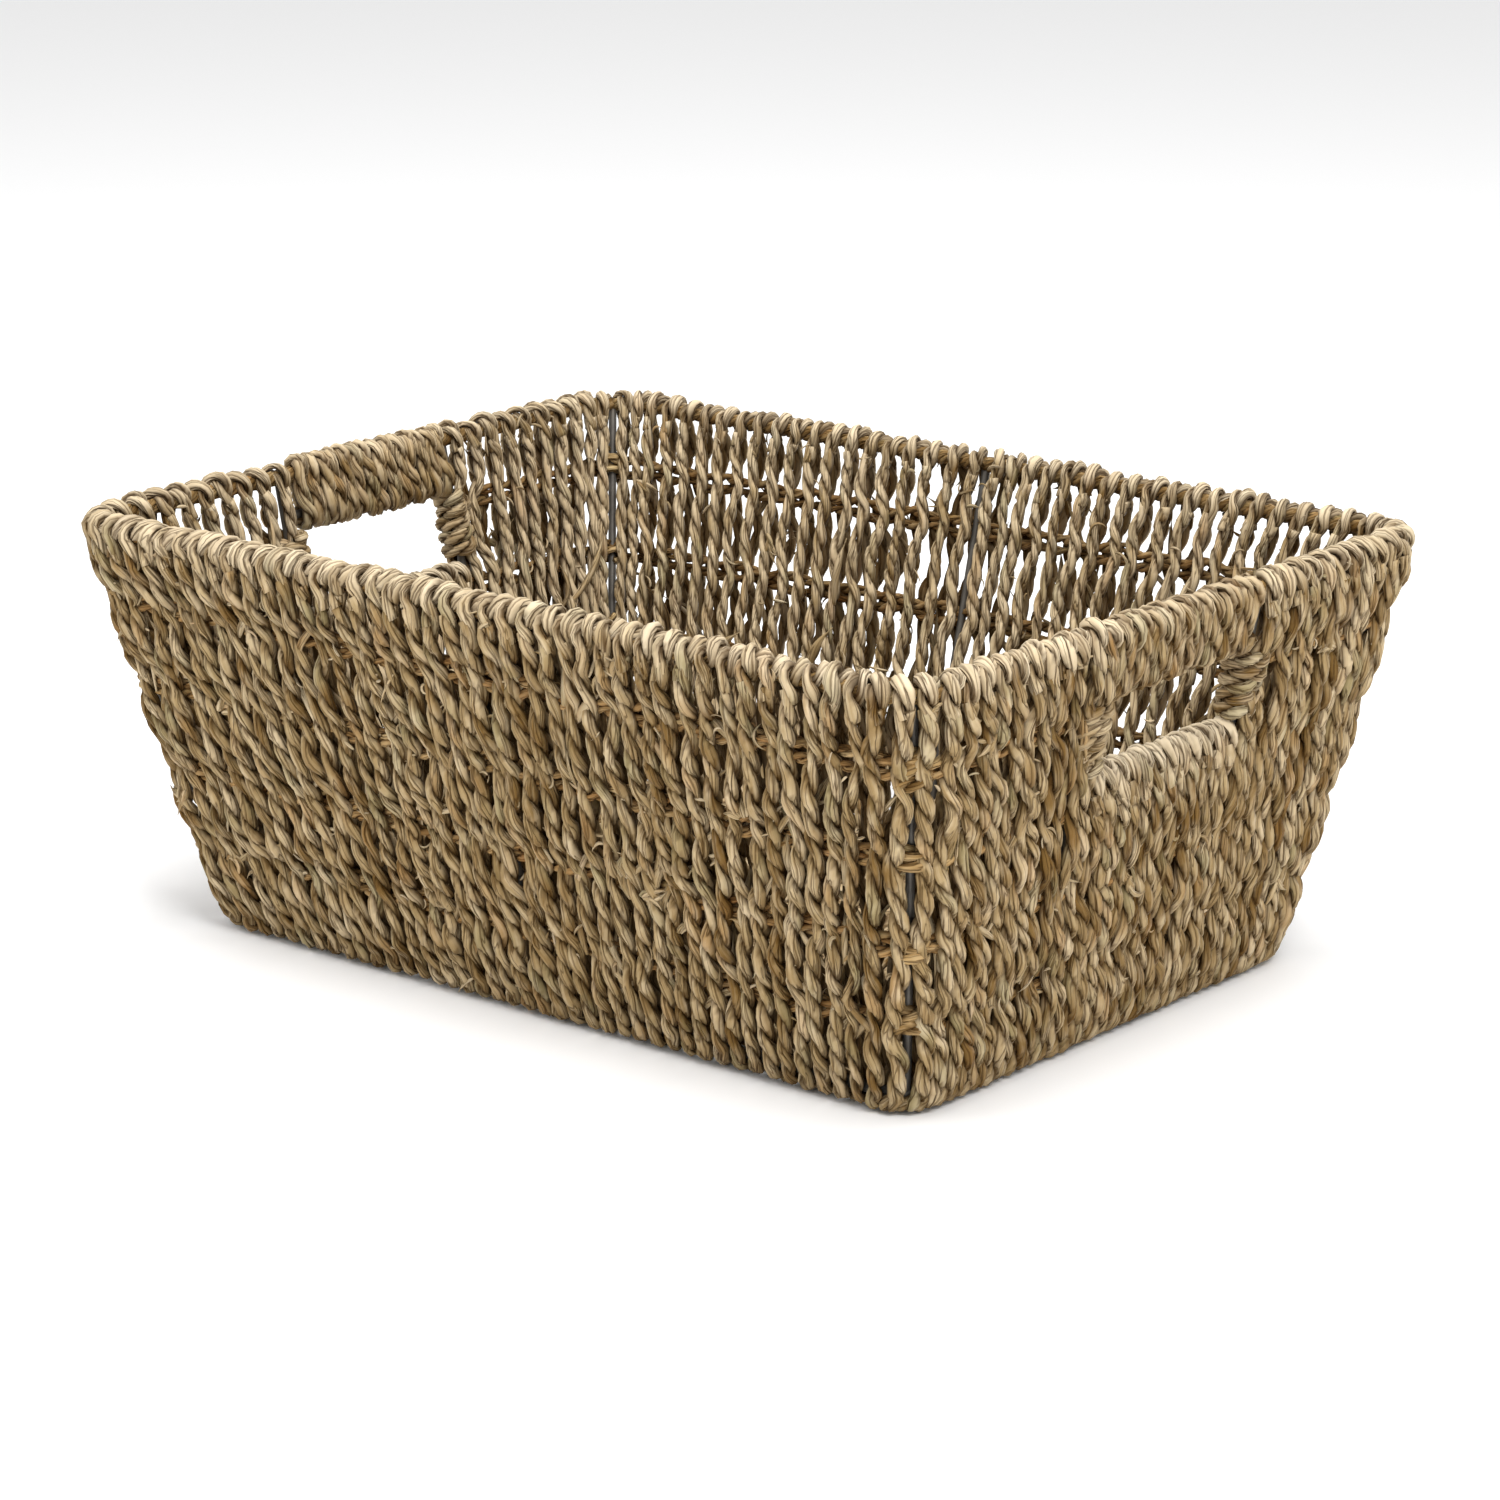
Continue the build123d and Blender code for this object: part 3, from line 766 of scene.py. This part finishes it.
def build_floor(materials):
    """Two layers of cord from front to back, and the twined rows between them."""
    first, last = FLOOR_LOW[0] - FLOOR_OVERHANG, FLOOR_HIGH[0] + FLOOR_OVERHANG
    count = round((last - first) / FLOOR_PITCH)
    pitch = (last - first) / count
    y = np.linspace(FLOOR_LOW[1] - 3, FLOOR_HIGH[1] + 3, 60)
    for layer in ("top", "under"):
        top = layer == "top"
        node = f"floor_{layer}_cords"
        rng = np.random.default_rng(len(node))
        piece = Piece()
        height = FLOOR_LOW[2] + 2.2 if top else FLOOR_UNDER
        shift = 0.5 if top else 1.0
        for index in range(count if top else count - 1):
            x = first + (index + shift) * pitch + 0 * y
            points = np.stack([x, y, height + 0 * y], axis=1)
            points[:, 0] += 0.9 * smooth_noise(points, 31, 60) + 0.4 * line_noise(y, rng, 50)
            points[:, 2] += 0.25 * line_noise(y, rng, 30)
            out = np.tile([0, 0, 1.0 if top else -1.0], (len(y), 1))
            cord(piece, points, out, rng, FLOOR_RADIUS, 21, 0.1, 0.5 + rng.normal(0, 0.08),
                 flat=0.75, step=2.4, folds=1, plain=7)
        piece.build(f"floor_{layer}_strands", materials["cord"], node)
    rng = np.random.default_rng(41)
    for row in ("front", "middle", "back"):
        node = f"floor_weft_{row}"
        low, high = node_box(node)
        piece = Piece()
        x = np.linspace(low[0], high[0], 120)
        for strand in (-1, 1):
            y = (low[1] + high[1]) / 2 + strand * 2.4 + 0.5 * line_noise(x, rng, 40)
            points = np.stack([x, y, BASE.z + 0.4 * line_noise(x, rng, 22)], axis=1)
            out = np.tile([0, 0, 1.0], (len(x), 1))
            cord(piece, points, out, rng, 1.05, 15, 0.0, 0.3, folds=1, plain=5, step=2.2)
        piece.build(node + "_strands", materials["weft"], node, slot="weft_cord")


def build_knots(materials):
    """Short level windings that tie each weft row to the corner uprights, thicker at the front."""
    for (side, y_side), (end, x_side) in product(SIDES.items(), ENDS.items()):
        rng = np.random.default_rng(800 + 10 * x_side + y_side)
        piece = Piece()
        front = side == "front"
        deep = 4.4 if front else 2.9
        thick = 1.6 if front else 1.1
        for height in WEFT_HEIGHTS:
            turns = rng.uniform(1.6, 2.3)
            around = np.linspace(0, 2 * math.pi * turns, 90) + rng.uniform(0, 6)
            z = height + rng.normal(0, 1.5) + 4.4 * (np.linspace(-1, 1, len(around)) * turns / 2)
            travel = np.full(len(around), run_length(True, height))
            points, normals = place(True, x_side, y_side, travel, height, 0)
            sideways = np.cross(normals, [0, 0, 1.0])
            wide = rng.uniform(4.4, 5.8) if front else deep
            out = unit(normals * np.sin(around)[:, None] * wide
                       + sideways * np.cos(around)[:, None] * deep)
            points = points + normals * (deep * np.sin(around))[:, None]
            points = points + sideways * (wide * np.cos(around))[:, None]
            points[:, 2] = z + 1.8 * np.sin(around + rng.uniform(0, 6))
            cord(piece, points, out, rng, thick, 17, 0.1, rng.uniform(0.35, 0.6), spread=0.85,
                 flat=0.85, step=1.5, painted_shade=0.65)
        piece.build(f"{side}_{end}_corner_knots", materials["knot"], slot="seagrass_cord")


STRAYS, TUFTS, TUCKS = 300, 12, 90
LOOSE_SHARE = {"front": 1.5, "back": 0.9, "left": 0.6, "right": 0.85}


class Loose:
    """Single leaves that lie loose on one wall: stray ends, frayed tufts and tucked-in plies."""

    def __init__(self, side):
        self.side = side
        self.long = side in SIDES
        self.rng = np.random.default_rng(900 + len(side) * 7 + ord(side[0]))
        self.piece = Piece()

    def spot(self, face, low, high, lift, reach):
        """A random point on the wall's face, the face's direction and sideways direction.

        Nothing that reaches that far up may cross a hand hole.
        """
        while True:
            sign = self.rng.choice([-1, 1])
            x_side, y_side = (sign, SIDES[self.side]) if self.long else (ENDS[self.side], sign)
            height = self.rng.uniform(low, high)
            travel = self.rng.uniform(0, run_length(self.long, height) - 4)
            if self.long or travel > SILL_HALF + 20 or height + reach < SILL_Z - 4:
                break
        points, normals = place(self.long, x_side, y_side, np.array([travel]), height, 0)
        normal = normals[0] * face
        return points[0] + normal * (WALL_OFFSET + lift), normal, np.cross(normal, [0, 0, 1.0])

    def leaf(self, anchor, normal, sideways, turn, curl, length, rise, width, pale):
        """A flat tapered leaf. turn is its heading on the wall, curl and rise bend it."""
        rng = self.rng
        t = np.linspace(0, 1, max(7, int(length / 1.8)))
        heading = (turn + curl * t)[:, None]
        step = sideways * np.cos(heading) + np.array([0, 0, 1.0]) * np.sin(heading)
        line = anchor + np.cumsum(step, axis=0) * length / len(t) + normal * rise(t)[:, None]
        line[:, 2] = np.clip(line[:, 2], 0.6, RIM.z + 4)
        along = unit(np.gradient(line, axis=0))
        out = unit(normal - along * np.sum(along * normal, axis=1, keepdims=True))
        taper = np.maximum(1 - np.abs(2 * t - 0.8) ** 3, 0.12)
        tone = np.full(len(t), 0.52 + rng.normal(0, 0.12))
        # painted shade on the side of the leaf turned toward the wall
        facing = (line - out * 3, out, np.ones(len(t)))
        self.piece.tube(line, (np.cross(out, along), out), (width * taper, 0.55 * width * taper), rng,
                        (tone, np.full(len(t), pale)), facing, folds=1, plain=5, painted_shade=0.3)

    def stray(self):
        """A thin split end that lies across the cords."""
        rng = self.rng
        face = 1 if rng.random() < 0.6 else -1
        length = rng.gamma(3.0, 1.5) + 3
        anchor, normal, sideways = self.spot(face, BASE.z + 2, RIM.z, rng.uniform(0.5, 2.2), length)
        turn = rng.normal(0, 0.8) + rng.choice([0, math.pi / 2, math.pi])
        lift = rng.uniform(-2.0, 1.2)
        self.leaf(anchor, normal, sideways, turn, rng.normal(0, 1.6), length,
                  lambda t: lift * t ** 2, rng.uniform(0.3, 0.8), rng.uniform(0, 0.4))

    def tuft(self):
        """Where a new cord is joined in, short frayed ends fan out."""
        rng = self.rng
        face = 1 if rng.random() < 0.7 else -1
        anchor, normal, sideways = self.spot(face, BASE.z + 12, RIM.z - 12, 2.0, 15)
        turn = rng.choice([-1, 1]) * math.pi / 2 + rng.normal(0, 0.5)
        pale = rng.uniform(0, 0.12)
        for _ in range(rng.integers(4, 7)):
            fan = rng.normal(0, 0.35)
            lift = rng.uniform(-1.4, 0.8)
            self.leaf(anchor + sideways * 2.5 * fan, normal, sideways, turn - fan, rng.normal(0, 1.2),
                      rng.uniform(6, 15), lambda t: lift * t, rng.uniform(0.8, 1.5), pale)

    def tuck(self):
        """A loose ply that wanders over its neighbours and dips back in at both ends."""
        rng = self.rng
        face = 1 if rng.random() < 0.85 else -1
        length = rng.uniform(18, 42)
        anchor, normal, sideways = self.spot(face, BASE.z + 4, RIM.z - 30, 0.2, length)
        bulge = rng.uniform(2.0, 3.0)
        self.leaf(anchor, normal, sideways, math.pi / 2 + rng.normal(0, 0.33), rng.normal(0, 0.6),
                  length, lambda t: bulge * np.sin(math.pi * t), rng.uniform(1.1, 1.9),
                  rng.uniform(0, 0.25))


def build_loose(materials):
    """Loose leaves on the four walls, most on the front."""
    for side in STYLES:
        loose = Loose(side)
        share = LOOSE_SHARE[side]
        for _ in range(round(STRAYS * share)):
            loose.stray()
        for _ in range(round(TUFTS * share)):
            loose.tuft()
        for _ in range(round(TUCKS * share)):
            loose.tuck()
        loose.piece.build(f"{side}_loose_leaves", materials["cord"], slot="seagrass_cord")


# ---------------------------------------------------------------- materials


class Nodes:
    """A short way to add and join shader nodes."""

    def __init__(self, name):
        self.material = bpy.data.materials.new(name)
        self.material.use_nodes = True
        self.tree = self.material.node_tree
        self.shader = self.tree.nodes["Principled BSDF"]

    def add(self, kind, inputs=None, **settings):
        node = self.tree.nodes.new(kind)
        for key, value in settings.items():
            setattr(node, key, value)
        for key, value in (inputs or {}).items():
            if isinstance(value, bpy.types.NodeSocket):
                self.tree.links.new(value, node.inputs[key])
            else:
                node.inputs[key].default_value = value
        return node

    def math(self, operation, first, second=0.0, third=0.0):
        inputs = {0: first, 1: second, 2: third}
        return self.add("ShaderNodeMath", inputs, operation=operation).outputs[0]

    def mix(self, factor, first, second, blend="MIX"):
        node = self.add("ShaderNodeMix", {0: factor, 6: first, 7: second},
                        data_type="RGBA", blend_type=blend)
        return node.outputs[2]

    def ramp(self, value, stops):
        node = self.add("ShaderNodeValToRGB", {0: value})
        ramp = node.color_ramp
        while len(ramp.elements) < len(stops):
            ramp.elements.new(0.5)
        for element, (position, colour) in zip(ramp.elements, stops):
            element.position = position
            element.color = (*colour, 1)
        return node.outputs[0]

    def between(self, value, low, high):
        """0 at low, 1 at high, and clamped past both."""
        inputs = {0: value, 1: low, 2: high, 3: 0.0, 4: 1.0}
        return self.add("ShaderNodeMapRange", inputs, clamp=True).outputs[0]

    def noise(self, vector, scale, detail=3.0, rough=0.6):
        inputs = {"Vector": vector, "Scale": scale, "Detail": detail, "Roughness": rough}
        return self.add("ShaderNodeTexNoise", inputs).outputs["Fac"]

    def set(self, **inputs):
        for key, value in inputs.items():
            socket = self.shader.inputs[key.replace("_", " ")]
            if isinstance(value, bpy.types.NodeSocket):
                self.tree.links.new(value, socket)
            else:
                socket.default_value = value


def grass_material(name, deep, dark, middle, light, pale_and_lit_colour, warm, green):
    """Dry twisted seagrass: fibre streaks, tone by ply, a pale rim partly painted light, painted shade
    in creases.
    """
    n = Nodes(name)
    fibre = n.add("ShaderNodeAttribute", attribute_name="fibre").outputs["Vector"]
    look = n.add("ShaderNodeAttribute", attribute_name="look").outputs["Vector"]
    look = n.add("ShaderNodeSeparateXYZ", {0: look})
    tone, pale, shade = look.outputs[0], look.outputs[1], look.outputs[2]

    def stretched(along, around):
        scale = {"Vector": fibre, "Scale": (along, around, around)}
        return n.add("ShaderNodeMapping", scale).outputs[0]

    streak = n.noise(stretched(0.1, 1.5), 1.0, 3.0, 0.6)
    split = n.noise(stretched(0.06, 0.45), 1.0, 1.0, 0.4)
    patch = n.noise(stretched(0.09, 0.25), 1.0, 2.0)
    hue = n.noise(stretched(0.025, 0.05), 1.0, 1.0)
    value = n.math("MULTIPLY_ADD", n.math("SUBTRACT", streak, 0.5), 0.6, tone)
    value = n.math("MULTIPLY_ADD", n.math("SUBTRACT", patch, 0.5), 0.7, value)
    colour = n.ramp(value, [(0.1, dark), (0.5, middle), (0.9, light)])
    warm_part = n.between(hue, 0.56, 0.7)
    colour = n.mix(n.math("MULTIPLY", warm_part, 0.3), colour, warm)
    green_part = n.between(hue, 0.44, 0.32)
    colour = n.mix(n.math("MULTIPLY", green_part, 0.5), colour, green)
    # toward the pale colour where the look attribute asks: partly paler leaf at the rim, partly painted
    # light on faces turned up
    pale_and_light = n.math("MULTIPLY_ADD", n.math("SUBTRACT", patch, 0.5), 1.0, pale)
    pale_and_light = n.math("MINIMUM", n.math("MAXIMUM", pale_and_light, 0.0), 0.9)
    colour = n.mix(pale_and_light, colour, n.mix(0.25, pale_and_lit_colour, colour, "MULTIPLY"))
    # painted shade: thin dark lines along the folds and the shade in the look attribute pull the colour
    # toward the deep colour; the same lines are also cut in as relief
    line = n.math("ABSOLUTE", n.math("SUBTRACT", split, 0.5))
    line = n.between(line, 0.03, 0.0)
    crease = n.math("MULTIPLY", shade, n.math("MULTIPLY_ADD", line, -0.55, 1.0))
    depth = n.math("POWER", crease, 1.3)
    colour = n.mix(n.math("SUBTRACT", 1.0, depth), colour, deep)
    rough = n.math("MULTIPLY_ADD", streak, 0.3, 0.45)
    height = n.math("MULTIPLY_ADD", streak, 0.35, n.math("MULTIPLY", line, -1.2))
    relief = n.add("ShaderNodeBump", {"Height": height, "Strength": 0.8, "Distance": 0.0004})
    n.set(Base_Color=colour, Roughness=rough, Normal=relief.outputs[0], Specular_IOR_Level=0.14,
          Specular_Tint=(1.0, 0.85, 0.6, 1))
    return n.material


def steel_material():
    """Dull drawn wire with draw lines, grey-brown stains and a little rust."""
    n = Nodes("dull_steel_wire")
    position = n.add("ShaderNodeNewGeometry").outputs["Position"]
    stain = n.noise(position, 60.0, 4.0)
    grain = n.noise(position, 1500.0, 2.0)
    colour = n.ramp(stain, [(0.3, (0.09, 0.08, 0.068)), (0.6, (0.15, 0.138, 0.12)),
                            (0.8, (0.19, 0.15, 0.1))])
    rough = n.math("MULTIPLY_ADD", grain, 0.3, 0.35)
    relief = n.add("ShaderNodeBump", {"Height": grain, "Strength": 0.3, "Distance": 0.0001})
    n.set(Base_Color=colour, Roughness=rough, Normal=relief.outputs[0], Metallic=0.55)
    return n.material


def make_materials():
    # deep is the colour of the painted shade; the pale colour stands for paler leaf and for painted
    # light
    cord_look = grass_material(
        "dry_seagrass",
        deep=(0.05, 0.02, 0.002, 1),
        dark=(0.17, 0.095, 0.027),
        middle=(0.35, 0.247, 0.12),
        light=(0.53, 0.41, 0.25),
        pale_and_lit_colour=(0.86, 0.75, 0.56, 1),
        warm=(0.42, 0.21, 0.07, 1),
        green=(0.26, 0.235, 0.12, 1),
    )
    weft_look = grass_material(
        "brown_twine",
        deep=(0.04, 0.014, 0.002, 1),
        dark=(0.16, 0.075, 0.02),
        middle=(0.36, 0.21, 0.08),
        light=(0.55, 0.38, 0.18),
        pale_and_lit_colour=(0.6, 0.48, 0.3, 1),
        warm=(0.42, 0.16, 0.04, 1),
        green=(0.22, 0.17, 0.07, 1),
    )
    knot_look = grass_material(
        "tan_twine",
        deep=(0.045, 0.018, 0.002, 1),
        dark=(0.15, 0.08, 0.022),
        middle=(0.37, 0.235, 0.095),
        light=(0.58, 0.43, 0.22),
        pale_and_lit_colour=(0.8, 0.66, 0.42, 1),
        warm=(0.45, 0.19, 0.05, 1),
        green=(0.28, 0.25, 0.12, 1),
    )
    looks = {"cord": cord_look, "weft": weft_look, "knot": knot_look}
    looks["steel"] = steel_material()
    return looks


def finish_steel(material):
    """The bare frame wires keep their CAD shape and get the wire's finish."""
    for name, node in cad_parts.items():
        if "wire" in name or "upright" in name:
            for material_slot in node.material_slots:
                material_slot.material = material


# ---------------------------------------------------------------- floor, light, camera


def plain_material(name, colour, rough):
    n = Nodes(name)
    n.set(Base_Color=(*colour, 1), Roughness=rough)
    return n.material


def build_stage():
    """A pale floor under soft studio light."""
    bpy.ops.mesh.primitive_plane_add(size=30, location=(0, 0, -0.0005))
    ground = bpy.context.object
    ground.name = "studio_floor"
    ground.data.materials.append(plain_material("pale_floor", (0.9, 0.9, 0.9), 0.9))
    world = bpy.data.worlds.new("studio")
    world.use_nodes = True
    tree = world.node_tree
    seen = tree.nodes.new("ShaderNodeLightPath").outputs["Is Camera Ray"]
    strength = tree.nodes.new("ShaderNodeMapRange")
    strength.inputs["To Min"].default_value = 0.8
    strength.inputs["To Max"].default_value = 1.0
    tree.links.new(seen, strength.inputs["Value"])
    background = tree.nodes["Background"]
    background.inputs["Color"].default_value = (1, 1, 1, 1)
    tree.links.new(strength.outputs[0], background.inputs["Strength"])
    bpy.context.scene.world = world
    add_light("key_light", (1.5, -0.9, 1.9), 1.0, 32)
    add_light("fill_light", (-0.9, -1.4, 1.3), 1.4, 8)
    add_light("top_light", (0.2, -0.1, 2.0), 1.2, 30)


def add_light(name, position, size, power):
    light = bpy.data.lights.new(name, "AREA")
    light.shape = "DISK"
    light.size = size
    light.energy = power
    holder = bpy.data.objects.new(name, light)
    holder.location = position
    aim = Vector((0, 0, 0.08)) - Vector(position)
    holder.rotation_euler = aim.to_track_quat("-Z", "Y").to_euler()
    bpy.context.scene.collection.objects.link(holder)


def build_camera():
    """The viewing angle: a long lens from the front right, a little above the rim."""
    azimuth, elevation = math.radians(39.8), math.radians(15.9)
    distance = 1.653  # metres, from the camera to the point it looks at
    back = Vector((math.sin(azimuth) * math.cos(elevation),
                   -math.cos(azimuth) * math.cos(elevation), math.sin(elevation)))
    right = Vector((math.cos(azimuth), math.sin(azimuth), 0))
    target = right * 0.0025 + Vector((0, 0, 0.0728))
    camera = bpy.data.objects.new("camera", bpy.data.cameras.new("camera"))
    camera.data.sensor_width = 36
    camera.data.lens = 108.336
    camera.data.clip_start = 0.05
    camera.location = target + back * distance
    camera.rotation_euler = (-back).to_track_quat("-Z", "Y").to_euler()
    bpy.context.scene.collection.objects.link(camera)
    bpy.context.scene.camera = camera
    bpy.context.scene.view_settings.view_transform = "Standard"


materials = make_materials()
finish_steel(materials["steel"])
build_walls(materials)
build_grips(materials)
build_lashings(materials)
build_wefts(materials)
build_rim_core(materials)
build_knots(materials)
build_loose(materials)
build_floor(materials)
build_stage()
build_camera()
